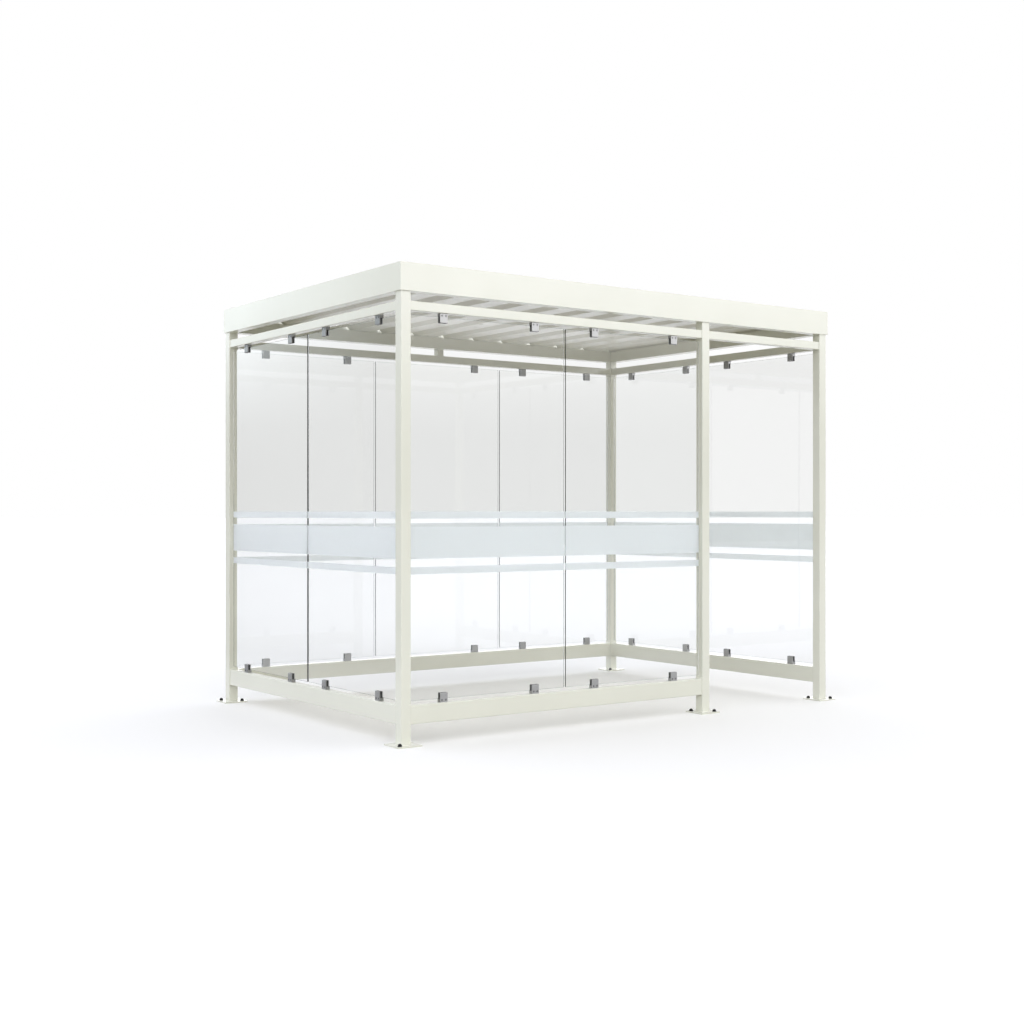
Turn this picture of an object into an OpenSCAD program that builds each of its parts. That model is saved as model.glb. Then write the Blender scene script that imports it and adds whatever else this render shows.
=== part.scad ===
// Open smoking shelter.
// Five square posts on base plates carry a ring of roof beams. Rails run between the
// posts, and panes of glass stand between the rails in small steel clamps. A ribbed
// roof sheet lies on the beams, inside a deep folded fascia. The right-hand bay of
// the front is an open doorway.
// Millimetres. +X runs along the front to the right, +Y to the rear and +Z up.
// The origin is on the ground under the middle of the frame.

/* [Bays] */
// Length of one glazed bay, three along the rear and two along each end
bay = 1045; // [850:5:1200]

/* [Posts] */
// Side of the square posts
post_s = 60; // [54:1:80]
// Height of the underside of the roof beams, which is the top of the posts
eaves_h = 2400; // [2100:10:2700]
// Wall thickness of every box section
tube_wall = 3; // [2:0.5:5]
// Outer corner radius of every box section
tube_r = 3.5; // [1.5:0.5:5]

/* [Base plates] */
// Side of the square base plates
plate_s = 150; // [136:2:200]
// Thickness of the base plates
plate_t = 8; // [5:1:15]
// Corner radius of the base plates
plate_r = 4; // [1:1:12]
// Distance between the two anchor holes along each side of a plate
anchor_pitch = 100; // [88:2:112]
// Diameter of the anchor holes
anchor_d = 14; // [10:1:18]

/* [Rails] */
// Depth of the rails through the wall
rail_d = 50; // [44:1:54]
// Height of the top rails
top_rail_h = 50; // [40:1:70]
// Open gap between the top rails and the roof beams
roof_gap = 50; // [30:1:80]
// Height of the bottom rails
bottom_rail_h = 100; // [60:1:140]
// Open gap between the ground and the bottom rails
ground_gap = 113; // [60:1:160]
// Width of the stub that ties the rear top rail to its roof beam
stub_w = 50; // [30:1:60]

/* [Glass] */
// Thickness of the panes
glass_t = 8; // [6:1:12]
// Gap between a pane and a post
pane_gap = 8; // [4:1:14]
// Gap between neighbouring panes
joint_gap = 12; // [6:1:20]
// Gap between the edge of a pane and the rail
glass_gap = 20; // [15:1:24]

/* [Clamps] */
// Width of a clamp along the rail
clamp_w = 48; // [34:1:60]
// Height of a clamp from the rail
clamp_h = 52; // [40:1:60]
// Thickness of each jaw
jaw_t = 5.5; // [4:0.5:8]
// Radius along the outer edges of the mouth
mouth_r = 3.5; // [1:0.5:4]
// Thickness of the rubber between the clamp and the glass
gasket_t = 3.5; // [1:0.5:4]
// Distance from the edge of a pane to the middle of a clamp
clamp_inset = 210; // [120:5:300]

/* [Roof] */
// Height of the roof beams
beam_h = 80; // [60:1:140]
// How far the fascia stands out from the posts
fascia_out = 8; // [4:1:20]
// Thickness of the fascia sheet
fascia_t = 2; // [1.5:0.5:3]
// Width of the fold along the top of the fascia
fold_w = 35; // [15:1:50]
// Height of the fascia above the ribs of the roof sheet
fascia_rise = 34; // [6:1:60]
// Thickness of the roof sheet
sheet_t = 1; // [0.6:0.1:1.5]
// Distance from one rib of the roof sheet to the next
rib_pitch = 256; // [220:1:333]
// Width of a rib at its foot
rib_foot = 124; // [100:1:140]
// Width of a rib at its top
rib_top = 64; // [40:1:80]
// Height of a rib
rib_h = 35; // [20:1:45]
// Distance from the left side of the frame to the first rib
rib_start = 26; // [20:1:160]
// Gap between the roof sheet and the fascia
sheet_gap = 24; // [10:1:40]

/* [Hidden] */
BAYS_WIDE = 3;
BAYS_DEEP = 2;
DOOR_BAY = 2;
$fn = 32;

coat = "ivory";
steel = "silver";

// How far a cut runs on past the faces that it opens
cut = 1;

// Outside sizes of the frame, over the posts
frame_w = BAYS_WIDE * bay + 2 * post_s;
frame_d = BAYS_DEEP * bay + 2 * post_s;
// The middle front post stands with its right side on this line
door_x = post_s + DOOR_BAY * bay + post_s;

rail_set = (post_s - rail_d) / 2;
bottom_rail_top = ground_gap + bottom_rail_h;
top_rail_top = eaves_h - roof_gap;
top_rail_z = top_rail_top - top_rail_h;
glass_mid = post_s / 2;
slot_half = glass_t / 2 + gasket_t;
foot_t = glass_gap - gasket_t;
roof_z = eaves_h + beam_h;
fascia_h = beam_h + rib_h + sheet_t + fascia_rise;
sheet_in = sheet_gap + fascia_t - fascia_out;

// Everything is drawn from the outer corner of the front left post
module placed() {
    translate([-frame_w / 2, -frame_d / 2, 0]) children();
}

// Turns a wall drawn with X along it and Y through it, from the outside in, to its side
module on_side(side) {
    if (side == "front") children();
    if (side == "rear") translate([0, frame_d, 0]) mirror([0, 1, 0]) children();
    if (side == "left") mirror([1, -1, 0]) children();
    if (side == "right") translate([frame_w, 0, 0]) mirror([1, 0, 0]) mirror([1, -1, 0]) children();
}

// Flat rectangle with round corners
module rounded(w, h, r) {
    translate([r, 0]) square([w - 2 * r, h]);
    translate([0, r]) square([w, h - 2 * r]);
    for (x = [r, w - r], y = [r, h - r]) translate([x, y]) circle(r);
}

// Cross-section of a hollow box section
module box_section(w, h) {
    difference() {
        rounded(w, h, tube_r);
        translate([tube_wall, tube_wall])
            rounded(w - 2 * tube_wall, h - 2 * tube_wall, max(tube_r - tube_wall, 0.5));
    }
}

// Box section lying along X
module tube_x(x0, x1, y, z, w, h) {
    translate([x0, y, z]) rotate([90, 0, 90]) linear_extrude(x1 - x0) box_section(w, h);
}

module post(x, y) {
    color(coat) placed() translate([x, y, plate_t])
        linear_extrude(eaves_h - plate_t) box_section(post_s, post_s);
}

// Base plate centred under a post, with its two anchor holes on one diagonal
module base_plate(x, y, diagonal) {
    color(coat) placed() translate([x + post_s / 2, y + post_s / 2, 0]) difference() {
        linear_extrude(plate_t) translate([-plate_s / 2, -plate_s / 2]) rounded(plate_s, plate_s, plate_r);
        for (s = [-1, 1])
            translate([s * anchor_pitch / 2, s * diagonal * anchor_pitch / 2, -cut])
                cylinder(d = anchor_d, h = plate_t + 2 * cut);
    }
}

module rail(side, u0, u1, z, h) {
    color(coat) placed() on_side(side) tube_x(u0, u1, rail_set, z, rail_d, h);
}

module bottom_rail(side, u1) {
    rail(side, post_s, u1, ground_gap, bottom_rail_h);
}

module top_rail(side, u0, u1) {
    rail(side, u0, u1, top_rail_z, top_rail_h);
}

// Roof beam between u0 and u1 along its side
module roof_beam(side, u0, u1) {
    color(coat) placed() on_side(side) tube_x(u0, u1, 0, eaves_h, post_s, beam_h);
}

// Plan of one side of a strip that runs round the roof, mitred at both ends
module mitred_strip(len, w) {
    o = fascia_out;
    polygon([[-o, -o], [len + o, -o], [len + o - w, w - o], [w - o, w - o]]);
}

// Folded fascia: an upright face with a fold along its top and bottom edges
module fascia(side, len) {
    color(coat) placed() on_side(side) translate([0, 0, eaves_h]) {
        linear_extrude(fascia_h) mitred_strip(len, fascia_t);
        linear_extrude(fascia_t) mitred_strip(len, fascia_out);
        translate([0, 0, fascia_h - fascia_t]) linear_extrude(fascia_t) mitred_strip(len, fold_w);
    }
}

// One face of the ribbed sheet as a line of points; lift is its height and grow how
// much wider the ribs are on that face
function rib_line(count, lift, grow) = [
    for (k = [-1 : count])
        let (a = rib_start + k * rib_pitch - grow, b = a + rib_foot + 2 * grow, w = (rib_foot - rib_top) / 2)
            each [[a, lift], [a + w, lift + rib_h], [b - w, lift + rib_h], [b, lift]]
];

function reversed(v) = [for (i = [len(v) - 1 : -1 : 0]) v[i]];

// Ribbed sheet of even thickness, cut to the space inside the fascia
module roof_sheet_section() {
    count = ceil(frame_w / rib_pitch);
    web = atan2(rib_h, (rib_foot - rib_top) / 2);
    under = rib_line(count, 0, 0);
    over = rib_line(count, sheet_t, sheet_t * tan(web / 2));
    intersection() {
        polygon(concat(under, reversed(over)));
        translate([sheet_in, -cut])
            square([frame_w - 2 * sheet_in, rib_h + sheet_t + 2 * cut]);
    }
}

// Where the pane of bay i starts and ends along its side, of count bays
function pane_start(i) = post_s + i * bay + (i == 0 ? pane_gap : joint_gap / 2);
function pane_end(i, count) = post_s + (i + 1) * bay - (i == count - 1 ? pane_gap : joint_gap / 2);

module pane(side, i, count) {
    u0 = pane_start(i);
    u1 = pane_end(i, count);
    z0 = bottom_rail_top + glass_gap;
    z1 = top_rail_z - glass_gap;
    color("lightcyan", 0.4) placed() on_side(side)
        translate([u0, glass_mid - glass_t / 2, z0]) cube([u1 - u0, glass_t, z1 - z0]);
}

// Places a part drawn standing on the rail at every clamp of a side, upright on the
// bottom rail and upside down under the top rail
module at_clamps(side, bays) {
    placed() on_side(side)
        for (i = [0 : bays - 1], u = [pane_start(i) + clamp_inset, pane_end(i, bays) - clamp_inset])
            translate([u - clamp_w / 2, glass_mid, 0]) {
                translate([0, 0, bottom_rail_top]) children();
                translate([0, 0, top_rail_z]) mirror([0, 0, 1]) children();
            }
}

// Draws a cross-section given through the wall and up, along one clamp
module along_clamp() {
    rotate([90, 0, 90]) linear_extrude(clamp_w) children();
}

// Steel clamp: a foot on the rail and two jaws with a slot between them
module clamp() {
    half = slot_half + jaw_t;
    along_clamp() difference() {
        union() {
            translate([-half, 0]) square([2 * half, clamp_h / 2]);
            translate([-half, 0]) rounded(2 * half, clamp_h, mouth_r);
        }
        translate([-slot_half, foot_t]) square([2 * slot_half, clamp_h]);
    }
}

// Rubber channel that fills the slot round the edge of the glass
module gasket() {
    along_clamp() difference() {
        translate([-slot_half, foot_t]) square([2 * slot_half, clamp_h - foot_t]);
        translate([-glass_t / 2, glass_gap]) square([glass_t, clamp_h]);
    }
}

module clamps(side, bays) {
    color(steel) at_clamps(side, bays) clamp();
}

far_x = frame_w - post_s;
far_y = frame_d - post_s;
mid_x = door_x - post_s;

module base_plate_front_left() { base_plate(0, 0, 1); }
module base_plate_front_middle() { base_plate(mid_x, 0, -1); }
module base_plate_front_right() { base_plate(far_x, 0, -1); }
module base_plate_rear_left() { base_plate(0, far_y, -1); }
module base_plate_rear_right() { base_plate(far_x, far_y, 1); }

module post_front_left() { post(0, 0); }
module post_front_middle() { post(mid_x, 0); }
module post_front_right() { post(far_x, 0); }
module post_rear_left() { post(0, far_y); }
module post_rear_right() { post(far_x, far_y); }

module bottom_rail_front() { bottom_rail("front", mid_x); }
module bottom_rail_left() { bottom_rail("left", far_y); }
module bottom_rail_rear() { bottom_rail("rear", far_x); }
module bottom_rail_right() { bottom_rail("right", far_y); }

module top_rail_front() { top_rail("front", post_s, mid_x); }
module top_rail_doorway() { top_rail("front", door_x, far_x); }
module top_rail_left() { top_rail("left", post_s, far_y); }
module top_rail_rear() { top_rail("rear", post_s, far_x); }
module top_rail_right() { top_rail("right", post_s, far_y); }

// Short upright between the rear top rail and the rear roof beam, at mid-span
module rear_rail_stub() {
    color(coat) placed() on_side("rear") translate([(frame_w - stub_w) / 2, rail_set, top_rail_top])
        linear_extrude(roof_gap) box_section(stub_w, rail_d);
}

module roof_beam_front() { roof_beam("front", 0, frame_w); }
module roof_beam_rear() { roof_beam("rear", 0, frame_w); }
module roof_beam_left() { roof_beam("left", post_s, far_y); }
module roof_beam_right() { roof_beam("right", post_s, far_y); }

module fascia_front() { fascia("front", frame_w); }
module fascia_rear() { fascia("rear", frame_w); }
module fascia_left() { fascia("left", frame_d); }
module fascia_right() { fascia("right", frame_d); }

module roof_sheet() {
    color("whitesmoke") placed() translate([0, frame_d - sheet_in, roof_z])
        rotate([90, 0, 0]) linear_extrude(frame_d - 2 * sheet_in) roof_sheet_section();
}

module glass_front_1() { pane("front", 0, DOOR_BAY); }
module glass_front_2() { pane("front", 1, DOOR_BAY); }
module glass_left_1() { pane("left", 0, BAYS_DEEP); }
module glass_left_2() { pane("left", 1, BAYS_DEEP); }
module glass_rear_1() { pane("rear", 0, BAYS_WIDE); }
module glass_rear_2() { pane("rear", 1, BAYS_WIDE); }
module glass_rear_3() { pane("rear", 2, BAYS_WIDE); }
module glass_right_1() { pane("right", 0, BAYS_DEEP); }
module glass_right_2() { pane("right", 1, BAYS_DEEP); }

module clamps_front() { clamps("front", DOOR_BAY); }
module clamps_left() { clamps("left", BAYS_DEEP); }
module clamps_rear() { clamps("rear", BAYS_WIDE); }
module clamps_right() { clamps("right", BAYS_DEEP); }

module clamp_gaskets() {
    color("dimgray") {
        at_clamps("front", DOOR_BAY) gasket();
        at_clamps("left", BAYS_DEEP) gasket();
        at_clamps("rear", BAYS_WIDE) gasket();
        at_clamps("right", BAYS_DEEP) gasket();
    }
}

base_plate_front_left();
base_plate_front_middle();
base_plate_front_right();
base_plate_rear_left();
base_plate_rear_right();
post_front_left();
post_front_middle();
post_front_right();
post_rear_left();
post_rear_right();
bottom_rail_front();
bottom_rail_left();
bottom_rail_rear();
bottom_rail_right();
top_rail_front();
top_rail_doorway();
top_rail_left();
top_rail_rear();
top_rail_right();
rear_rail_stub();
roof_beam_front();
roof_beam_rear();
roof_beam_left();
roof_beam_right();
fascia_front();
fascia_rear();
fascia_left();
fascia_right();
roof_sheet();
glass_front_1();
glass_front_2();
glass_left_1();
glass_left_2();
glass_rear_1();
glass_rear_2();
glass_rear_3();
glass_right_1();
glass_right_2();
clamps_front();
clamps_left();
clamps_rear();
clamps_right();
clamp_gaskets();
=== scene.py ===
"""Open smoking shelter: the coat, roof sheet, glass, film bands, clamps and small fasteners,
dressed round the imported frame, with the studio that shows them.

Metres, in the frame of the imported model: +X runs along the front to the right, +Y to the rear
and +Z up, with the ground at Z = 0 under the middle of the frame.
"""

import math

import bpy
import numpy as np
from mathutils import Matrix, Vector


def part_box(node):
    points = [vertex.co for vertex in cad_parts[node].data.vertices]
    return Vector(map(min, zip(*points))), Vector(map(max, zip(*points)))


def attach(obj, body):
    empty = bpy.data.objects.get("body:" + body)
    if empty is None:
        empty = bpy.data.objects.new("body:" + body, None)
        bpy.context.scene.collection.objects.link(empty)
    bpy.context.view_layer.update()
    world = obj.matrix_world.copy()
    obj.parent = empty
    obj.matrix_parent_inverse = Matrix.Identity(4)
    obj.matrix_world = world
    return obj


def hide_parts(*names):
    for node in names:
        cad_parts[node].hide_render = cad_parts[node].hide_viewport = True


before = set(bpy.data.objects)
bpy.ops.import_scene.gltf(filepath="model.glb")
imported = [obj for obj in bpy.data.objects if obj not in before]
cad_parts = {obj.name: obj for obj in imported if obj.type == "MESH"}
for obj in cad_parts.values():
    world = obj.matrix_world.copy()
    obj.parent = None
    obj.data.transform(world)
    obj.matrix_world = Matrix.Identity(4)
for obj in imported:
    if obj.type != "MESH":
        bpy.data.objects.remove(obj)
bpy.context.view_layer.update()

# ---------------------------------------------------------------- sizes

BODY = "root"

# Box sections: the radius of their outer corners. Roof sheet: its thickness
SECTION_R = 0.0035
SHEET_T = 0.001

# Radius left open at the pole of a turned profile
POLE_R = 0.0001

# Pane edges: the arris ground along them and the radius of their corners
ARRIS = 0.0008
PANE_CORNER = 0.004

# Film bands: (height of the lower edge, width) of each, from the bottom up
FILM_BANDS = ((0.903, 0.038), (0.985, 0.170), (1.199, 0.038))
FILM_T = 0.00015
FILM_CORNER = 0.0001

# Clamp screws: two side by side through the outer jaw, near the rail, and how far in from the
# edge of its pane a clamp's middle lies
SCREW_D = 0.0100
SCREW_HEAD_H = 0.0006
SCREW_RECESS = 0.0012
SCREW_APART = 0.025
SCREW_FROM_RAIL = 0.0126
CLAMP_INSET = 0.210

# Anchor bolts: a washer and a domed nut on a stud, which ends just above the ground
ANCHOR_OFF = 0.050
WASHER_D = 0.026
WASHER_T = 0.0022
WASHER_RIM = 0.0005
DOME_D = 0.0225
DOME_H = 0.0125
STUD_D = 0.012
STUD_END = 0.0005

# Fillet welds: the leg, the share of it that the bulge reaches at its toes and what its crown
# adds, the length and lift of a ripple, how deep the root is sunk, how far the bulge runs past a
# quarter turn in radians, and the points along a ripple and across the bulge
WELD_LEG = 0.0038
WELD_TOE = 0.72
WELD_CROWN = 0.06
WELD_RIPPLE = 0.0030
WELD_LIFT = 0.00022
WELD_ROOT = 0.0004
WELD_OVERRUN = 0.12
POINTS_A_RIPPLE = 4
WELD_POINTS = 7

# Roof screws, in the middle of every trough over the front and rear beams
ROOF_WASHER_D = 0.016
ROOF_WASHER_H = 0.0022
ROOF_WASHER_SUNK = 0.0002
ROOF_HEAD_D = 0.0092
ROOF_HEAD_FOOT = 0.0015
ROOF_HEAD_H = 0.0052
ROOF_HEAD_TOP = 0.0006
ROOF_HEAD_TAPER = 0.86

# Each anchor pair lies on one diagonal of its plate: 1 from front left to rear right
PLATE_DIAGONALS = {
    "base_plate_front_left": 1,
    "base_plate_front_middle": -1,
    "base_plate_front_right": -1,
    "base_plate_rear_left": -1,
    "base_plate_rear_right": 1,
}
PANES = {"front": 2, "left": 2, "rear": 3, "right": 2}


def box(node):
    """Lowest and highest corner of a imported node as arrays."""
    low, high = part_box(node)
    return np.array(low), np.array(high)


# ---------------------------------------------------------------- surfaces


class Skin:
    """Gathers closed surfaces, each a stack of rings of points, into one mesh."""

    def __init__(self):
        self.points = []
        self.faces = []
        self.count = 0

    def add(self, rings, closed=False):
        """Quads join each ring of points to the next, and each ring to its own start. A closed
        stack joins its last ring to its first, and an open one has a flat cap on each end."""
        rows, cols = rings.shape[:2]
        number = self.count + np.arange(rows * cols).reshape(rows, cols)
        after = np.roll(number, -1, axis=1)
        above = np.roll(number, -1, axis=0)
        corner = np.roll(above, -1, axis=1)
        quads = np.stack([number, after, corner, above], axis=-1)
        quads = quads if closed else quads[:-1]
        self.faces += quads.reshape(-1, 4).tolist()
        if not closed:
            self.faces += [number[0, ::-1].tolist(), number[-1].tolist()]
        self.points.append(rings.reshape(-1, 3))
        self.count += rows * cols

    def piece(self, name, materials, sharp=35.0):
        """The finished piece, smooth except along edges that turn by more than sharp degrees."""
        mesh = bpy.data.meshes.new(name)
        mesh.from_pydata(np.concatenate(self.points).tolist(), [], self.faces)
        mesh.polygons.foreach_set("use_smooth", np.ones(len(mesh.polygons), bool))
        mesh.set_sharp_from_angle(angle=math.radians(sharp))
        for material in materials:
            mesh.materials.append(material)
        mesh.validate()
        obj = bpy.data.objects.new(name, mesh)
        bpy.context.scene.collection.objects.link(obj)
        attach(obj, BODY)
        return obj


def rounded_outline(width, height, radius, steps=6):
    """Points round a rectangle centred on the origin with quarter circles at its corners: each
    corner's centre plus radius times (cos, sin) of an angle that runs through its quarter."""
    angle = np.linspace(0, math.pi / 2, steps)
    turns = np.arange(4)[:, None] * math.pi / 2 + angle
    side = np.array([[1, 1], [-1, 1], [-1, -1], [1, -1]])
    centre = side * (np.array([width, height]) / 2 - radius)
    ring = centre[:, None, :] + radius * np.stack([np.cos(turns), np.sin(turns)], axis=-1)
    return ring.reshape(-1, 2)


def placed(flat, lift, origin, across, up, out):
    """Carries points (x, y) with a height each into space: origin + x across + y up + lift out."""
    return (
        origin
        + flat[..., :1] * across
        + flat[..., 1:2] * up
        + np.asarray(lift)[..., None] * out
    )


def turned(profile, steps=24):
    """A profile of (radius, height) points spun about the height axis: the ring at each point is
    radius times (cos, sin) of an angle that runs once round. Gives flat points and their lift."""
    angle = np.linspace(0, 2 * math.pi, steps, endpoint=False)
    profile = np.asarray(profile)
    round_it = np.stack([np.cos(angle), np.sin(angle)], axis=-1)
    flat = profile[:, None, :1] * round_it[None]
    lift = np.repeat(profile[:, 1:2], steps, axis=1)
    return flat, lift


def arc(radius_x, radius_y, start, end, steps, centre=(0.0, 0.0)):
    """Points of an ellipse about a centre, from one angle to another, in degrees."""
    angle = np.radians(np.linspace(start, end, steps))
    points = np.stack([radius_x * np.cos(angle), radius_y * np.sin(angle)], axis=-1)
    return points + np.array(centre)


# ---------------------------------------------------------------- shader helpers


def new_material(name):
    """A material with an empty node tree."""
    material = bpy.data.materials.new(name)
    material.use_nodes = True
    tree = material.node_tree
    tree.nodes.clear()
    return material, tree


def node(tree, kind, **settings):
    """A new node of one kind, with its settings."""
    made = tree.nodes.new(kind)
    for key, value in settings.items():
        setattr(made, key, value)
    return made


def link(tree, source, target):
    """Joins an output to an input."""
    tree.links.new(source, target)


def noise(tree, vector, scale, detail=2.0, roughness=0.5):
    """A cloudy value from 0 to 1, with so many blots to the metre."""
    made = node(tree, "ShaderNodeTexNoise")
    made.inputs["Scale"].default_value = scale
    made.inputs["Detail"].default_value = detail
    made.inputs["Roughness"].default_value = roughness
    link(tree, vector, made.inputs["Vector"])
    return made.outputs["Fac"]


def spread(tree, value, low, high, to_low, to_high):
    """Maps a value from low..high to to_low..to_high, held within them."""
    made = node(tree, "ShaderNodeMapRange")
    made.clamp = True
    for key, number in zip(("From Min", "From Max", "To Min", "To Max"), (low, high, to_low, to_high)):
        made.inputs[key].default_value = number
    link(tree, value, made.inputs["Value"])
    return made.outputs["Result"]


def maths(tree, operation, first, second):
    """Works out one value from two, each a socket or a plain number."""
    made = node(tree, "ShaderNodeMath", operation=operation)
    for socket, value in zip(made.inputs, (first, second)):
        if isinstance(value, (int, float)):
            socket.default_value = value
        else:
            link(tree, value, socket)
    return made.outputs[0]


def tint(tree, factor, first, second, blend="MIX"):
    """Mixes two colours, each a socket or plain numbers, by a socket or a plain number."""
    made = node(tree, "ShaderNodeMix", data_type="RGBA", blend_type=blend)
    for socket, value in zip((made.inputs[0], made.inputs[6], made.inputs[7]), (factor, first, second)):
        if isinstance(value, bpy.types.NodeSocket):
            link(tree, value, socket)
        elif isinstance(value, (int, float)):
            socket.default_value = value
        else:
            socket.default_value = (*value, 1.0)
    return made.outputs[2]


def split(tree, vector):
    """The three parts of a vector."""
    made = node(tree, "ShaderNodeSeparateXYZ")
    link(tree, vector, made.inputs["Vector"])
    return made.outputs


def towards(tree, parts, way):
    """How far a direction, given in parts, points a level way: the cosine of the angle between."""
    along = [maths(tree, "MULTIPLY", parts[k], way[k]) for k in (0, 1)]
    return maths(tree, "ADD", *along)


def measured(tree, vector, operation):
    """The outputs of a node that works out the length of a vector, or its direction."""
    made = node(tree, "ShaderNodeVectorMath", operation=operation)
    link(tree, vector, made.inputs[0])
    return made.outputs


def mixed(tree, factor, first, second):
    """Mixes two shaders by a value."""
    made = node(tree, "ShaderNodeMixShader")
    for socket, source in zip(made.inputs, (factor, first.outputs[0], second.outputs[0])):
        link(tree, source, socket)
    return made.outputs[0]


def effect(name, inputs, outputs):
    """An empty node group with the named inputs, as (name, kind, value), and outputs."""
    group = bpy.data.node_groups.new(name, "ShaderNodeTree")
    for label, kind, value in inputs:
        socket = group.interface.new_socket(name=label, in_out="INPUT", socket_type=kind)
        if value is not None:
            socket.default_value = value
    for label, kind in outputs:
        group.interface.new_socket(name=label, in_out="OUTPUT", socket_type=kind)
    return group, node(group, "NodeGroupInput"), node(group, "NodeGroupOutput")


def use(tree, group, vector, **values):
    """Places an effect in a material, on the piece's own coordinates."""
    made = node(tree, "ShaderNodeGroup")
    made.node_tree = group
    link(tree, vector, made.inputs["Vector"])
    for label, value in values.items():
        made.inputs[label.replace("_", " ")].default_value = value
    return made.outputs


FLOAT, VECTOR = "NodeSocketFloat", "NodeSocketVector"


def grain_effect():
    """Fine skin of a sprayed or moulded surface: a height for bump and a roughness that varies
    about its base value, both from noise at a given number of grains to the metre."""
    group, inside, outside = effect(
        "surface_grain",
        [
            ("Vector", VECTOR, None),
            ("Grains", FLOAT, 600.0),
            ("Base Roughness", FLOAT, 0.4),
            ("Variation", FLOAT, 0.06),
        ],
        [("Height", FLOAT), ("Roughness", FLOAT)],
    )
    fine = node(group, "ShaderNodeTexNoise")
    fine.inputs["Detail"].default_value = 2.0
    link(group, inside.outputs["Vector"], fine.inputs["Vector"])
    link(group, inside.outputs["Grains"], fine.inputs["Scale"])
    broad = noise(group, inside.outputs["Vector"], 5.0, 3.0)
    swing = maths(group, "MULTIPLY", maths(group, "SUBTRACT", broad, 0.5), inside.outputs["Variation"])
    rough = maths(group, "ADD", swing, inside.outputs["Base Roughness"])
    link(group, fine.outputs["Fac"], outside.inputs["Height"])
    link(group, rough, outside.inputs["Roughness"])
    return group


def dust_and_shade_effect():
    """A thin film of dust: strongest where the surface faces up, in soft patches, as a mask. At a
    high amount, as on the roof sheet, it is also painted shade that darkens the tops.
    """
    group, inside, outside = effect(
        "dust_and_painted_shade",
        [("Vector", VECTOR, None), ("Amount", FLOAT, 0.3)],
        [("Mask", FLOAT)],
    )
    parts = split(group, node(group, "ShaderNodeNewGeometry").outputs["Normal"])
    upward = spread(group, parts["Z"], 0.2, 1.0, 0.15, 1.0)
    patches = spread(group, noise(group, inside.outputs["Vector"], 3.5, 5.0, 0.6), 0.35, 0.75, 0.0, 1.0)
    mask = maths(group, "MULTIPLY", maths(group, "MULTIPLY", upward, patches), inside.outputs["Amount"])
    link(group, mask, outside.inputs["Mask"])
    return group


GRAIN = grain_effect()
DUST_AND_SHADE = dust_and_shade_effect()


def bump(tree, height, strength, distance):
    """A normal tilted by the slope of a height."""
    made = node(tree, "ShaderNodeBump")
    made.inputs["Strength"].default_value = strength
    made.inputs["Distance"].default_value = distance
    link(tree, height, made.inputs["Height"])
    return made.outputs["Normal"]


def principled(tree, **values):
    """A Principled shader with plain values on its own sockets, joined to the output."""
    made = node(tree, "ShaderNodeBsdfPrincipled")
    for label, value in values.items():
        made.inputs[label.replace("_", " ")].default_value = value
    out = node(tree, "ShaderNodeOutputMaterial")
    link(tree, made.outputs[0], out.inputs["Surface"])
    return made, out


def object_vector(tree):
    """The piece's own coordinates."""
    return node(tree, "ShaderNodeTexCoord").outputs["Object"]


def srgb(red, green, blue):
    """A display colour from 0 to 255 as linear light."""
    value = np.array([red, green, blue]) / 255.0
    low = value / 12.92
    high = ((value + 0.055) / 1.055) ** 2.4
    return tuple(float(v) for v in np.where(value <= 0.04045, low, high))


# ---------------------------------------------------------------- finishes

# Cool cast of the coat's gloss, the colour of dust on a coat, which on the roof sheet's top is also
# painted shade, and that of wear on black parts
COAT_GLOSS = (0.9, 0.9, 1.0, 1.0)
DUST_AND_SHADE_COLOUR = srgb(196, 192, 178)
WORN_COLOUR = srgb(110, 108, 102)
# Share of the soft light that each face of a pane lets through
PANE_LETS_THROUGH = (0.86, 0.855, 0.83)
# Share of the light that the film lets through, scattered
FILM_CLEAR = 0.67


def coat_finish(name, colour, shade, roughness, grains, dust, lacquer=0.0):
    """Sprayed and baked powder coat: an even colour with a slow drift of tone, a fine orange-peel
    skin, and dust on what faces up. At the roof sheet's high amount that dust is also painted shade
    that darkens what faces up."""
    material, tree = new_material(name)
    vector = object_vector(tree)
    grain = use(tree, GRAIN, vector, Grains=grains, Base_Roughness=roughness, Variation=0.12)
    drift = spread(tree, noise(tree, vector, 1.7, 2.0), 0.3, 0.7, 0.0, 1.0)
    tone = tint(tree, drift, colour, shade)
    # Dust on what faces up; at the roof sheet's high amount it is also painted shade on the tops
    dust_and_shade_mask = use(tree, DUST_AND_SHADE, vector, Amount=dust)["Mask"]
    shader, _ = principled(
        tree, Specular_IOR_Level=1.0, Specular_Tint=COAT_GLOSS, Coat_Weight=lacquer, Coat_Roughness=0.35
    )
    link(tree, tint(tree, dust_and_shade_mask, tone, DUST_AND_SHADE_COLOUR), shader.inputs["Base Color"])
    link(tree, grain["Roughness"], shader.inputs["Roughness"])
    link(tree, bump(tree, grain["Height"], 0.25, 0.0002), shader.inputs["Normal"])
    return material


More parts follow.
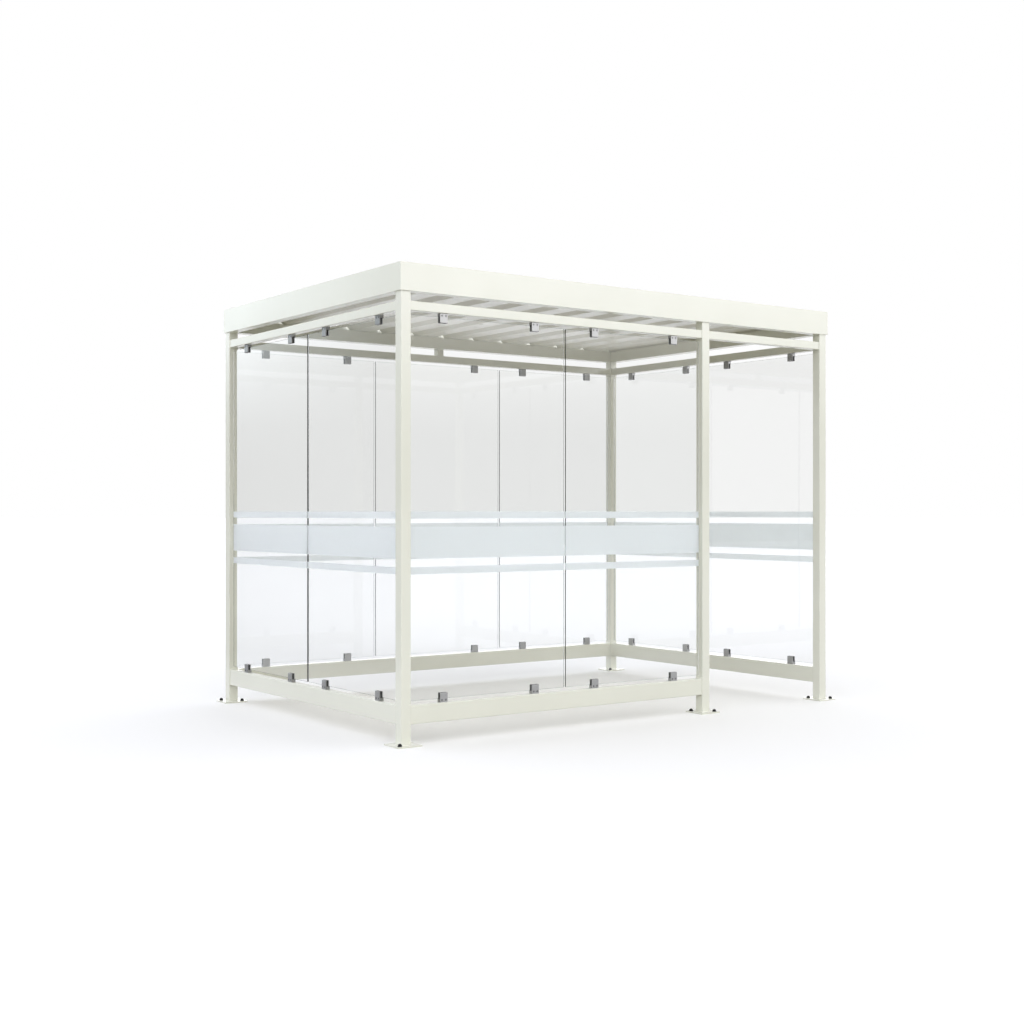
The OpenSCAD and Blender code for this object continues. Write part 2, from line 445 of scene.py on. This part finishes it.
def glass_finish(name, colour, rough, marks, aslant=None):
    """Clear toughened glass that lets soft light through: faint marks vary its roughness, and a
    slow wave from the furnace rollers bends what it mirrors. Where a colour aslant is given, the
    glass is that colour where it is looked along, and deeper where it is looked into."""
    material, tree = new_material(name)
    vector = object_vector(tree)
    shader, out = principled(tree, Transmission_Weight=1.0, IOR=1.5)
    patches = noise(tree, vector, 9.0, 6.0, 0.65)
    cloudy = spread(tree, patches, 0.62, 0.8, rough, rough + marks)
    link(tree, cloudy, shader.inputs["Roughness"])
    smeared = spread(tree, patches, 0.3, 0.8, 0.0, 1.0)
    toned = tint(tree, smeared, colour, [c * 0.992 for c in colour])
    if aslant:
        facing = node(tree, "ShaderNodeLayerWeight").outputs["Facing"]
        toned = tint(tree, spread(tree, facing, 0.12, 0.42, 0.0, 1.0), toned, aslant)
    link(tree, toned, shader.inputs["Base Color"])
    wave = noise(tree, vector, 3.0, 1.0)
    link(tree, bump(tree, wave, 0.06, 0.002), shader.inputs["Normal"])
    clear = node(tree, "ShaderNodeBsdfTransparent")
    clear.inputs["Color"].default_value = (*PANE_LETS_THROUGH, 1.0)
    path = node(tree, "ShaderNodeLightPath")
    lamp_ray = maths(tree, "MAXIMUM", path.outputs["Is Shadow Ray"], path.outputs["Is Diffuse Ray"])
    link(tree, mixed(tree, lamp_ray, shader, clear), out.inputs["Surface"])
    return material


def film_finish():
    """Matt white window film with a cold cast: fine speckle in its colour and height."""
    material, tree = new_material("frosted_film")
    vector = object_vector(tree)
    grain = use(tree, GRAIN, vector, Grains=2200.0, Base_Roughness=0.85, Variation=0.08)
    shader, _ = principled(
        tree, Specular_IOR_Level=0.5, Transmission_Weight=FILM_CLEAR, IOR=1.3,
        Sheen_Weight=1.0, Sheen_Roughness=0.5,
    )
    speckle = spread(tree, noise(tree, vector, 420.0, 2.0), 0.35, 0.65, 0.0, 1.0)
    colour = tint(tree, speckle, srgb(251, 254, 255), srgb(249, 254, 255))
    link(tree, colour, shader.inputs["Base Color"])
    link(tree, grain["Roughness"], shader.inputs["Roughness"])
    link(tree, bump(tree, grain["Height"], 0.3, 0.00005), shader.inputs["Normal"])
    return material


def steel_finish():
    """Brushed stainless steel: fine lines along the clamp's height, as noise stretched that way."""
    material, tree = new_material("brushed_steel")
    vector = object_vector(tree)
    stretch = node(tree, "ShaderNodeMapping")
    stretch.inputs["Scale"].default_value = (1.0, 1.0, 0.03)
    link(tree, vector, stretch.inputs["Vector"])
    lines = noise(tree, stretch.outputs["Vector"], 2600.0, 3.0, 0.7)
    shader, _ = principled(tree, Metallic=1.0)
    brushed = spread(tree, lines, 0.3, 0.7, 0.0, 1.0)
    colour = tint(tree, brushed, srgb(146, 146, 146), srgb(173, 173, 173))
    link(tree, colour, shader.inputs["Base Color"])
    link(tree, spread(tree, lines, 0.3, 0.7, 0.24, 0.4), shader.inputs["Roughness"])
    link(tree, bump(tree, lines, 0.25, 0.00004), shader.inputs["Normal"])
    return material


def dark_finish(name, colour, roughness, grains, metallic, gloss=0.5):
    """Black rubber, black-coated or blackened parts: grain in the height and the roughness."""
    material, tree = new_material(name)
    vector = object_vector(tree)
    grain = use(tree, GRAIN, vector, Grains=grains, Base_Roughness=roughness, Variation=0.15)
    worn = use(tree, DUST_AND_SHADE, vector, Amount=0.12)["Mask"]
    shader, _ = principled(tree, Metallic=metallic, Specular_IOR_Level=gloss)
    link(tree, tint(tree, worn, colour, WORN_COLOUR), shader.inputs["Base Color"])
    link(tree, grain["Roughness"], shader.inputs["Roughness"])
    link(tree, bump(tree, grain["Height"], 0.25, 0.0001), shader.inputs["Normal"])
    return material


COAT = coat_finish("powder_coat", srgb(229, 229, 214), srgb(226, 226, 211), 0.2, 650.0, 0.10)
# The roof sheet's dust amount is high: besides dust, it is painted shade that darkens the roof's top, which
# the strong light from above would otherwise drive to plain white
ROOF_COAT = coat_finish("roof_coat", srgb(246, 244, 232), srgb(242, 240, 228), 0.3, 420.0, 0.65, 1.0)
GLASS = glass_finish("clear_glass", (0.975, 0.98, 0.975), 0.0, 0.03)
EDGE = glass_finish("pane_edge", (0.004, 0.008, 0.006), 0.06, 0.06, (0.6, 0.7, 0.65))
FILM = film_finish()
STEEL = steel_finish()
RUBBER = dark_finish("black_rubber", srgb(24, 24, 25), 0.62, 1400.0, 0.0)
SCREW = dark_finish("blackened_screw", srgb(46, 46, 48), 0.38, 1800.0, 0.6)
ANCHOR = dark_finish("black_anchor", srgb(14, 14, 15), 0.4, 1500.0, 0.0, 0.25)

NODE_FINISHES = (
    ("roof_sheet", ROOF_COAT),
    ("clamps_", STEEL),
    ("clamp_gaskets", RUBBER),
    ("", COAT),
)


def dress_nodes():
    """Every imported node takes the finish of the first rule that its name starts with."""
    for name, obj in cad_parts.items():
        finish = next(material for start, material in NODE_FINISHES if name.startswith(start))
        obj.data.materials.clear()
        obj.data.materials.append(finish)


# ---------------------------------------------------------------- walls

X, Y, Z = np.eye(3)
# Each wall's direction from left to right as seen from outside, and its outward direction
WALLS = {"front": (X, -Y), "rear": (-X, Y), "left": (-Y, -X), "right": (Y, X)}


def each_pane():
    """Each pane's wall and number, as its name has them, with its middle and size, and its
    wall's two directions."""
    for side, count in PANES.items():
        for number in range(1, count + 1):
            low, high = box(f"glass_{side}_{number}")
            yield f"{side}_{number}", (low + high) / 2, high - low, *WALLS[side]


def glass_panes():
    """A pane is a flat plate with round corners. Its rings go from the inner face out: the outline
    less the arris, the full outline twice, and the outline less the arris again."""
    for place, middle, size, across, out in each_pane():
        width, height, thick = abs(size @ across), size @ Z, abs(size @ out)
        insets = (ARRIS, 0.0, 0.0, ARRIS)
        lifts = (-thick / 2, ARRIS - thick / 2, thick / 2 - ARRIS, thick / 2)
        outlines = [rounded_outline(width - 2 * i, height - 2 * i, PANE_CORNER - i) for i in insets]
        rings = [placed(outline, lift, middle, across, Z, out) for outline, lift in zip(outlines, lifts)]
        skin = Skin()
        skin.add(np.stack(rings))
        pane = skin.piece(f"pane_{place}", [GLASS, EDGE], 20.0)
        edge = np.ones(len(pane.data.polygons), int)
        edge[-2:] = 0
        pane.data.polygons.foreach_set("material_index", edge)
        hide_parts(f"glass_{place}")


def film_bands():
    """Each band lies on the outer face of its pane and is folded back over both upright edges, so
    in plan it is a long shallow C of the film's thickness."""
    for place, middle, size, across, out in each_pane():
        width, face = abs(size @ across) / 2, abs(size @ out) / 2
        near, far = FILM_T / 3, FILM_T
        half = np.array([
            (width + far, ARRIS - face),
            (width + far, face + far - FILM_CORNER),
            (width + far - FILM_CORNER, face + far),
        ])
        inner = np.array([(width + near, face + near), (width + near, ARRIS - face)])
        plan = np.vstack([half, half[::-1] * (-1, 1), inner[::-1] * (-1, 1), inner])[::-1]
        skin = Skin()
        foot = middle * (1, 1, 0)
        for start, tall in FILM_BANDS:
            ends = [placed(plan, level, foot, across, out, Z) for level in (start, start + tall)]
            skin.add(np.stack(ends))
        skin.piece(f"film_{place}", [FILM])


def socket_screw(radius, head, recess):
    """Profile of a low screw head with a round socket: up its side, over a round edge, in across
    the rim and down into the recess. As (radius, height) points."""
    edge = arc(0.25 * radius, 0.5 * head, 0, 90, 5, (0.75 * radius, 0.5 * head))
    socket = [(0.52 * radius, head), (0.46 * radius, 0.8 * head), (0.44 * radius, -recess)]
    return np.concatenate([[(radius, -head)], edge, socket, [(POLE_R, -recess)]])


def clamp_middles(side):
    """Places along a wall of its clamps: an inset in from both edges of every pane."""
    across, _ = WALLS[side]
    middles = []
    for number in range(1, PANES[side] + 1):
        start, end = sorted(corner @ across for corner in box(f"glass_{side}_{number}"))
        middles += [start + CLAMP_INSET, end - CLAMP_INSET]
    return middles


def clamp_screws():
    """Two screws side by side in the outer face of every clamp, near the rail that carries it."""
    flat, lift = turned(socket_screw(SCREW_D / 2, SCREW_HEAD_H, SCREW_RECESS))
    for side in PANES:
        across, out = WALLS[side]
        low, high = box(f"clamps_{side}")
        face = max(low @ out, high @ out)
        _, rail_top = box(f"bottom_rail_{side}")
        under, _ = box(f"top_rail_{side}")
        levels = (rail_top[2] + SCREW_FROM_RAIL, under[2] - SCREW_FROM_RAIL)
        skin = Skin()
        for along in clamp_middles(side):
            for apart in (-SCREW_APART / 2, SCREW_APART / 2):
                for level in levels:
                    at = across * (along + apart) + out * face + Z * level
                    skin.add(placed(flat, lift, at, across, Z, out))
        skin.piece(f"clamp_screws_{side}", [SCREW])


def anchor_bolts():
    """A stud up through each anchor hole, with a washer and a domed nut: one profile spun about
    the stud, whose crown is a quarter of an ellipse."""
    crown = arc(DOME_D / 2, DOME_H * 0.8, 0, 88, 9, (0, WASHER_T + DOME_H * 0.2))
    washer_r, rim = WASHER_D / 2, WASHER_RIM
    profile = np.concatenate([
        [(POLE_R, 0.0), (STUD_D / 2, 0.0), (STUD_D / 2, 0.0)],
        [(washer_r - rim, 0.0), (washer_r, rim), (washer_r, WASHER_T - rim)],
        [(washer_r - rim, WASHER_T), (DOME_D / 2, WASHER_T)],
        crown,
    ])
    for plate, diagonal in PLATE_DIAGONALS.items():
        low, high = box(plate)
        top = high[2]
        shape = profile.copy()
        shape[:2, 1] = STUD_END - top
        flat, lift = turned(shape)
        skin = Skin()
        for sign in (-1, 1):
            at = (low + high) / 2 + np.array([sign, sign * diagonal, 0]) * ANCHOR_OFF
            at[2] = top
            skin.add(placed(flat, lift, at, X, Y, Z))
        skin.piece(plate.replace("base_plate", "anchor_bolts"), [ANCHOR])


# ---------------------------------------------------------------- welds and roof screws


def weld_ring(skin, width, height, radius, origin, across, up, out):
    """A fillet weld round a box section that stands on a face. The path is the section's outline,
    walked at even steps, and the profile at each step is a bulged arc between the two legs. The
    leg swells and shrinks along the path as a row of ripples."""
    outline = rounded_outline(width, height, radius, 8)
    loop = np.vstack([outline, outline[:1]])
    walked = np.concatenate([[0], np.cumsum(np.linalg.norm(np.diff(loop, axis=0), axis=1))])
    ripples = round(walked[-1] / WELD_RIPPLE)
    steps = ripples * POINTS_A_RIPPLE
    at = np.linspace(0, walked[-1], steps, endpoint=False)
    path = np.stack([np.interp(at, walked, loop[:, k]) for k in (0, 1)], axis=-1)
    along = np.roll(path, -1, axis=0) - np.roll(path, 1, axis=0)
    along /= np.linalg.norm(along, axis=1, keepdims=True)
    away = np.stack([along[:, 1], -along[:, 0]], axis=-1)
    swell = WELD_LIFT * np.abs(np.sin(np.pi * ripples * at / walked[-1]))
    angle = np.linspace(-WELD_OVERRUN, math.pi / 2 + WELD_OVERRUN, WELD_POINTS)
    bulge = WELD_TOE + WELD_CROWN * np.sin(2 * angle.clip(0, math.pi / 2))
    leg = (WELD_LEG + swell)[:, None] * bulge
    root = np.full((steps, 1), -WELD_ROOT)
    reach = np.hstack([leg * np.cos(angle), root])
    rise = np.hstack([leg * np.sin(angle), root])
    flat = path[:, None, :] + away[:, None, :] * reach[..., None]
    skin.add(placed(flat, rise, origin, across, up, out)[:, ::-1], closed=True)


def section_end(node_name, direction):
    """Middle of the end of a box section that looks along direction."""
    low, high = box(node_name)
    middle, half = (low + high) / 2, (high - low) / 2
    return middle + direction * abs(half @ direction), high - low


def welds():
    """Welds where each post stands on its plate and where each rail and side beam meets a post."""
    for name in [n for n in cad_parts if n.startswith("post_")]:
        skin = Skin()
        end, size = section_end(name, -Z)
        weld_ring(skin, size[0], size[1], SECTION_R, end, X, Y, Z)
        skin.piece(name.replace("post", "foot_weld"), [COAT], 60.0)
    ends = [("top_rail_doorway", X), ("rear_rail_stub", Z)]
    ends += [(f"{kind}_rail_{side}", WALLS[side][0]) for kind in ("bottom", "top") for side in WALLS]
    ends += [(f"roof_beam_{side}", Y) for side in ("left", "right")]
    for name, direction in ends:
        skin = Skin()
        for way in (direction, -direction):
            end, size = section_end(name, way)
            across = Z if abs(way @ Z) < 0.5 else X
            up = np.cross(-way, across)
            weld_ring(skin, abs(size @ across), abs(size @ up), SECTION_R, end, across, up, -way)
        skin.piece(name + "_welds", [COAT], 60.0)


def hex_head(radius, rise, steps=24):
    """Outline of a six-sided head and its height: the radius of a hexagon at each angle, which is
    its inner radius over the cosine of the angle from the middle of the nearest side."""
    angle = np.linspace(0, 2 * math.pi, steps, endpoint=False)
    off = (angle + math.pi / 6) % (math.pi / 3) - math.pi / 6
    reach = radius / np.cos(off)
    flat = np.stack([reach * np.cos(angle), reach * np.sin(angle)], axis=-1)
    return flat, rise


def trough_middles():
    """Middles of the roof sheet's whole troughs, from the points of the sheet that lie on its
    underside plane: they come in pairs, the two ends of each trough."""
    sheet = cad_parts["roof_sheet"].data
    points = np.zeros(len(sheet.vertices) * 3)
    sheet.vertices.foreach_get("co", points)
    points = points.reshape(-1, 3)
    base = points[:, 2] < points[:, 2].min() + 1e-5
    ends = np.unique(np.round(points[base, 0], 4)).reshape(-1, 2)
    wide = ends[:, 1] - ends[:, 0] > 2 * ROOF_WASHER_D
    return ends[wide].mean(axis=1)


def roof_screws():
    """Screws through the roof sheet into the beams, one in the middle of every trough: a domed
    sealing washer under a six-sided head."""
    low, _ = box("roof_sheet")
    dome = arc(ROOF_WASHER_D / 2, ROOF_WASHER_H, 0, 60, 5)
    washer = np.vstack([[(ROOF_WASHER_D / 2, -ROOF_WASHER_SUNK)], dome])
    radius = ROOF_HEAD_D / 2
    for side in ("front", "rear"):
        beam_low, beam_high = box(f"roof_beam_{side}")
        along = (beam_low[1] + beam_high[1]) / 2
        skin = Skin()
        for x in trough_middles():
            at = np.array([x, along, low[2] + SHEET_T])
            flat, lift = turned(washer)
            skin.add(placed(flat, lift, at, X, Y, Z))
            foot = hex_head(radius, ROOF_HEAD_FOOT)
            rim = hex_head(radius, ROOF_HEAD_H)
            top = hex_head(radius * ROOF_HEAD_TAPER, ROOF_HEAD_H + ROOF_HEAD_TOP)
            rings = [placed(outline, rise, at, X, Y, Z) for outline, rise in (foot, rim, top)]
            skin.add(np.stack(rings))
        skin.piece(f"roof_screws_{side}", [ROOF_COAT], 25.0)


# ---------------------------------------------------------------- studio

# The floor's grey as a source of light, its white where it is seen, the share of it that is its
# own white, and the white of floor and room as seen through glass
FLOOR_COLOUR = (0.43, 0.415, 0.367)
FLOOR_LIT_WHITE = (0.97, 0.957, 0.934)
FLOOR_OWN_WHITE = 0.02
THROUGH_GLASS = 0.93
# Radius of the floor, and its points round and out
FLOOR_R = 300.0
FLOOR_ROUND, FLOOR_OUT = 96, 12
# Where gloss mirrors a dimmer room: the way there, and the cosines of the angles from it at which
# the dimming starts and is full, in the room and on the floor
DIM_SIDE = (-0.707, 0.707)
DIM_START, DIM_FULL = 0.92, 0.962
FLOOR_DIM_START, FLOOR_DIM_FULL = 0.6, 0.85
# White of the floor there, and the distances at which its dimming starts and is full
FLOOR_MIRRORED = 0.32
DIM_NEAR, DIM_FAR = 3.0, 5.0
# The way to the white backdrop, and the white of what lies low on the other side, where it is
# seen by light that a pane has mirrored on its way. The cosines between which that side ends,
# on the floor and in the room
BACKDROP_SIDE = (0.58, 0.81)
TURNED_BACK = 0.45
FLOOR_TURNED = (-0.75, -0.5)
ROOM_TURNED = (-0.2, 0.0)


def white_seen(tree, path):
    """White as a plain value: 1, or a little less for what is seen through glass."""
    dimmer = maths(tree, "MULTIPLY", path.outputs["Is Transmission Ray"], 1.0 - THROUGH_GLASS)
    return maths(tree, "SUBTRACT", 1.0, dimmer)


def mirrored_on_the_way(tree, path):
    """1 for light seen through glass that a pane has also mirrored on its way, otherwise 0."""
    mirrored = maths(tree, "MINIMUM", path.outputs["Glossy Depth"], 1.0)
    return maths(tree, "MULTIPLY", mirrored, path.outputs["Is Transmission Ray"])


def floor_dimmer(tree, path, place):
    """What is taken off the floor's white: in gloss, far off on the dimmer side, and on the side
    away from the backdrop for light that a pane has mirrored on its way."""
    parts = split(tree, measured(tree, place, "NORMALIZE")["Vector"])
    side = towards(tree, parts, DIM_SIDE)
    dimmer = spread(tree, side, FLOOR_DIM_START, FLOOR_DIM_FULL, 0.0, 1.0 - FLOOR_MIRRORED)
    mirrored = maths(tree, "SUBTRACT", path.outputs["Is Glossy Ray"], path.outputs["Is Transmission Ray"])
    dimmer = maths(tree, "MULTIPLY", dimmer, maths(tree, "MAXIMUM", mirrored, 0.0))
    away = spread(tree, measured(tree, place, "LENGTH")["Value"], DIM_NEAR, DIM_FAR, 0.0, 1.0)
    dimmer = maths(tree, "MULTIPLY", dimmer, away)
    behind = spread(tree, towards(tree, parts, BACKDROP_SIDE), *FLOOR_TURNED, 1.0 - TURNED_BACK, 0.0)
    behind = maths(tree, "MULTIPLY", behind, mirrored_on_the_way(tree, path))
    return maths(tree, "MAXIMUM", dimmer, behind)


def floor_finish():
    """Matt white that keeps a shadow: grey as a source of light, and white where it is seen by
    the camera and in and through glass, where it also has a trace of its own white."""
    material, tree = new_material("studio_floor")
    path = node(tree, "ShaderNodeLightPath")
    seen = maths(tree, "MAXIMUM", path.outputs["Is Camera Ray"], path.outputs["Is Transmission Ray"])
    seen = maths(tree, "MAXIMUM", seen, path.outputs["Is Glossy Ray"])
    dimmer = floor_dimmer(tree, path, object_vector(tree))
    white = maths(tree, "SUBTRACT", white_seen(tree, path), dimmer)
    shader = node(tree, "ShaderNodeBsdfDiffuse")
    lit = tint(tree, 1.0, white, FLOOR_LIT_WHITE, "MULTIPLY")
    link(tree, tint(tree, seen, FLOOR_COLOUR, lit), shader.inputs["Color"])
    glow = node(tree, "ShaderNodeEmission")
    link(tree, white, glow.inputs["Strength"])
    own = maths(tree, "MULTIPLY", seen, FLOOR_OWN_WHITE)
    out = node(tree, "ShaderNodeOutputMaterial")
    link(tree, mixed(tree, own, shader, glow), out.inputs["Surface"])
    return material


def studio_floor():
    """A round floor, not attached to the object's body. Its rings lie at radii that grow as the
    cube of their number, round a flat middle."""
    angle = np.linspace(0, 2 * math.pi, FLOOR_ROUND, endpoint=False)
    reach = FLOOR_R * np.linspace(0, 1, FLOOR_OUT)[1:] ** 3
    rings = reach[:, None, None] * np.stack([np.cos(angle), np.sin(angle), 0 * angle], axis=-1)
    number = np.arange(rings[..., 0].size).reshape(rings.shape[:2])
    after = np.roll(number, -1, axis=1)
    quads = np.stack([number[:-1], number[1:], after[1:], after[:-1]], axis=-1)
    faces = quads.reshape(-1, 4).tolist() + [number[0].tolist()]
    mesh = bpy.data.meshes.new("studio_floor")
    mesh.from_pydata(rings.reshape(-1, 3).tolist(), [], faces)
    mesh.materials.append(floor_finish())
    floor = bpy.data.objects.new("studio_floor", mesh)
    bpy.context.scene.collection.objects.link(floor)


# Soft light from all round, from the cool left and rear to the warm front and right, and the
# shares of it that come from the horizon and from high up, above the given sine of height
COOL_LIGHT = (1.45, 1.51, 1.69)
WARM_LIGHT = (1.585, 1.596, 1.617)
WARM_SIDE = (0.58, -0.81)
LOW_SHARE, HIGH_SHARE, HIGH_UP = 0.7, 1.35, 0.42
# Straight above, less of it comes down: where that starts, and the share taken off overhead
OVERHEAD_FROM, OVERHEAD_LESS = 0.5, 1.3
# What gloss mirrors: (height as the sine of its angle, grey) from the horizon up
SKYLINE = (
    (0.0, 0.1), (0.05, 0.1), (0.08, 0.5), (0.09, 0.9), (0.11, 1.7), (0.125, 2.7), (0.136, 3.5), (0.165, 4.0),
    (0.22, 4.0), (0.34, 1.0),
)
# On the dimmer side this much of the skyline's light is left, and before it, from the cosine at
# which that starts, the skyline lies lower and its light is cooler
DIM_LEFT = 0.05
COOLING_START = 0.8
LOWER_BY = 0.02
COOLER = (0.72, 0.8, 0.84)
# Sines of the heights between which the low part of the far side ends
LOW_DOWN = (0.06, 0.12)


def mirrored_room(tree, parts):
    """What gloss mirrors: the skyline by its height, and less of it, lower and cooler, on the
    dimmer side."""
    ramp = node(tree, "ShaderNodeValToRGB")
    stops = ramp.color_ramp.elements
    stops.remove(stops[1])
    stops[0].position = 0.0
    peak = max(grey for _, grey in SKYLINE)
    for number, (height, grey) in enumerate(SKYLINE):
        stop = stops[0] if number == 0 else stops.new(height)
        stop.color = (grey / peak, grey / peak, grey / peak, 1)
    side = towards(tree, parts, DIM_SIDE)
    lower = spread(tree, side, COOLING_START, DIM_START, 0.0, LOWER_BY)
    link(tree, maths(tree, "ADD", parts["Z"], lower), ramp.inputs[0])
    dimming = spread(tree, side, DIM_START, DIM_FULL, peak, peak * DIM_LEFT)
    mirrored = tint(tree, 1.0, ramp.outputs[0], dimming, "MULTIPLY")
    cooled = spread(tree, side, COOLING_START, DIM_START, 0.0, 1.0)
    return tint(tree, 1.0, mirrored, tint(tree, cooled, (1, 1, 1), COOLER), "MULTIPLY")


def soft_light(tree, parts):
    """What lights the object: from cool on one side to warm on the other, times a share that
    grows with height and falls again straight above."""
    warmth = spread(tree, towards(tree, parts, WARM_SIDE), -1.0, 1.0, 0.0, 1.0)
    share = spread(tree, parts["Z"], 0.0, HIGH_UP, LOW_SHARE, HIGH_SHARE)
    less = spread(tree, parts["Z"], OVERHEAD_FROM, 1.0, 0.0, OVERHEAD_LESS)
    share = maths(tree, "SUBTRACT", share, less)
    return tint(tree, 1.0, tint(tree, warmth, COOL_LIGHT, WARM_LIGHT), share, "MULTIPLY")


def white_room(tree, path, parts):
    """What is seen directly or through glass: white, and less of it low down on the side away
    from the backdrop for light that a pane has mirrored on its way."""
    behind = spread(tree, towards(tree, parts, BACKDROP_SIDE), *ROOM_TURNED, 1.0, 0.0)
    low_down = spread(tree, parts["Z"], *LOW_DOWN, 1.0 - TURNED_BACK, 0.0)
    dimmer = maths(tree, "MULTIPLY", behind, low_down)
    dimmer = maths(tree, "MULTIPLY", dimmer, mirrored_on_the_way(tree, path))
    return maths(tree, "SUBTRACT", white_seen(tree, path), dimmer)


def surroundings():
    """The room round the object: plain white where the camera sees it directly or through glass,
    an even soft light on surfaces, and in gloss a horizon under a pale sky."""
    world = bpy.data.worlds.new("studio")
    bpy.context.scene.world = world
    world.use_nodes = True
    tree = world.node_tree
    tree.nodes.clear()
    parts = split(tree, node(tree, "ShaderNodeTexCoord").outputs["Generated"])
    path = node(tree, "ShaderNodeLightPath")
    seen = maths(tree, "MAXIMUM", path.outputs["Is Camera Ray"], path.outputs["Is Transmission Ray"])
    colour = tint(tree, path.outputs["Is Glossy Ray"], soft_light(tree, parts), mirrored_room(tree, parts))
    back = node(tree, "ShaderNodeBackground")
    link(tree, tint(tree, seen, colour, white_room(tree, path, parts)), back.inputs["Color"])
    out = node(tree, "ShaderNodeOutputWorld")
    link(tree, back.outputs[0], out.inputs["Surface"])


# The camera's place, its turn about the vertical in degrees, and its lens and sensor in mm
CAMERA_AT = (-5.4743, -7.4845, 1.2342)
CAMERA_TURN = -35.567
CAMERA_LENS = 49.77
SENSOR = 36.0


def camera():
    """A level camera at standing height, off the front left corner."""
    data = bpy.data.cameras.new("camera")
    data.lens, data.sensor_width = CAMERA_LENS, SENSOR
    data.clip_start, data.clip_end = 0.1, 1000.0
    obj = bpy.data.objects.new("camera", data)
    obj.location = CAMERA_AT
    obj.rotation_euler = (math.pi / 2, 0.0, math.radians(CAMERA_TURN))
    bpy.context.scene.collection.objects.link(obj)
    bpy.context.scene.camera = obj


camera()
dress_nodes()
glass_panes()
film_bands()
clamp_screws()
anchor_bolts()
welds()
roof_screws()
studio_floor()
surroundings()
bpy.context.scene.view_settings.view_transform = "Standard"

bpy.context.view_layer.update()
